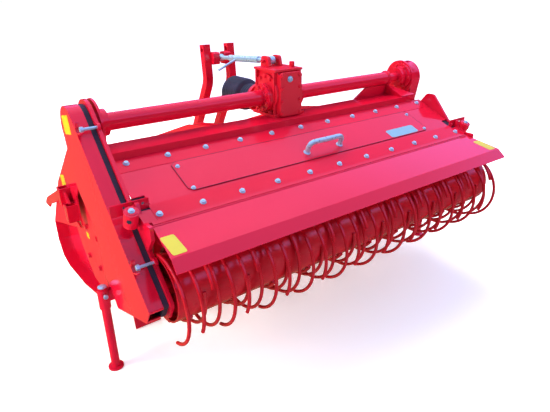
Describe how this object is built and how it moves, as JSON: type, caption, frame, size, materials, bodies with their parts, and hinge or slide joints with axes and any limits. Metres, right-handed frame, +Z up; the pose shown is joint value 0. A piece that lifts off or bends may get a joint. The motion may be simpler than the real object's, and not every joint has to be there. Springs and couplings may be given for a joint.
{
  "type": "tractor-mounted rotary spading machine with spike roller",
  "caption": "Red tractor-mounted spading machine: digging rotor under a sloping hood, driven spike roller behind, gearbox, drive tubes, hitch mast and side stands.",
  "frame": {"origin": "on the floor under the middle of the machine's box", "axes": "+X the machine's right, +Y its travel direction towards the tractor, +Z up"},
  "size_m": [2.466, 1.8322, 1.4272],
  "materials": {
    "red_paint": "gloss",
    "red_casting": "satin",
    "red_tines": "gloss",
    "zinc": "satin",
    "bare_steel": "satin",
    "rubber": "matte",
    "black_plastic": "satin"
  },
  "bodies": {
    "hood_frame": {"main_beam": "red_paint", "side_plate_left": "red_paint", "side_plate_right": "red_paint", "left_chain_cover": "red_paint", "left_seal": "rubber", "rotor_chain_case": "red_paint", "rotor_bearing_left": "red_casting", "roller_bearing_right": "red_casting", "hood_deck": "red_paint", "hood_strip_upper": "red_paint", "hood_strip_lower": "red_paint", "hatch_cover": "red_paint", "hatch_handle": "zinc", "front_hood": "red_paint", "gearbox_housing": "red_casting", "gearbox_rear_cover": "red_casting", "gearbox_top_plate": "red_casting", "drive_tube_left": "red_paint", "drive_tube_right": "red_paint", "tube_gusset_right": "red_paint", "pto_guard": "black_plastic", "hitch_arm_left": "red_paint", "hitch_arm_right": "red_paint", "hitch_crossbar": "red_paint", "stand_bracket_left": "red_paint", "stand_bracket_right": "red_paint", "side_bracket_left": "red_paint", "flap_stop_left": "red_paint", "flap_stop_right": "red_paint", "hinge_socket_left": "red_paint", "hinge_socket_right": "red_paint"},
    "rotor": {"digging_rotor": "red_paint"},
    "roller": {"spike_roller": "red_tines"},
    "pto_stub": {"pto_shaft": "bare_steel"},
    "stand_left": {"stand_leg_left": "red_paint"},
    "stand_right": {"stand_leg_right": "red_paint"},
    "flap": {"rear_flap": "red_paint"},
    "mast": {"mast_uprights": "red_paint", "mast_clevis": "red_paint"},
    "stay": {"stay_barrel": "zinc"},
    "stay_screw": {"stay_rod": "zinc"}
  },
  "joints": [
    {"name": "rotor_spin", "type": "hinge", "parent": "hood_frame", "child": "rotor", "pos_m": [0, 0.11, 0.38803], "axis": [1, 0, 0], "continuous": true},
    {"name": "roller_spin", "type": "hinge", "parent": "hood_frame", "child": "roller", "pos_m": [0, -0.673, 0.62], "axis": [1, 0, 0], "continuous": true},
    {"name": "pto_spin", "type": "hinge", "parent": "hood_frame", "child": "pto_stub", "pos_m": [0, 0.28, 1.145], "axis": [0, 1, 0], "continuous": true},
    {"name": "stand_left_slide", "type": "slide", "parent": "hood_frame", "child": "stand_left", "axis": [0, 0, 1], "range_m": [-0.06, 0]},
    {"name": "stand_right_slide", "type": "slide", "parent": "hood_frame", "child": "stand_right", "axis": [0, 0, 1], "range_m": [-0.06, 0]},
    {"name": "flap_swing", "type": "hinge", "parent": "hood_frame", "child": "flap", "pos_m": [0, -0.64, 0.889], "axis": [-1, 0, 0], "range_deg": [0, 100]},
    {"name": "mast_tilt", "type": "hinge", "parent": "hood_frame", "child": "mast", "pos_m": [0, 0.852, 0.735], "axis": [1, 0, 0], "range_deg": [-3, 3]},
    {"name": "stay_swing", "type": "hinge", "parent": "hood_frame", "child": "stay", "pos_m": [0, -0.005, 1.377], "axis": [1, 0, 0], "range_deg": [-1.9, 1.9]},
    {"name": "stay_slide", "type": "slide", "parent": "stay", "child": "stay_screw", "axis": [0, 0.9981, -0.0623], "range_m": [-0.032, 0.032]}
  ],
  "couplings": [
    {"joint": "stay_swing", "follows": "mast_tilt", "ratio": -0.59283},
    {"joint": "stay_slide", "follows": "mast_tilt", "m_per_rad": -0.58739}
  ]
}
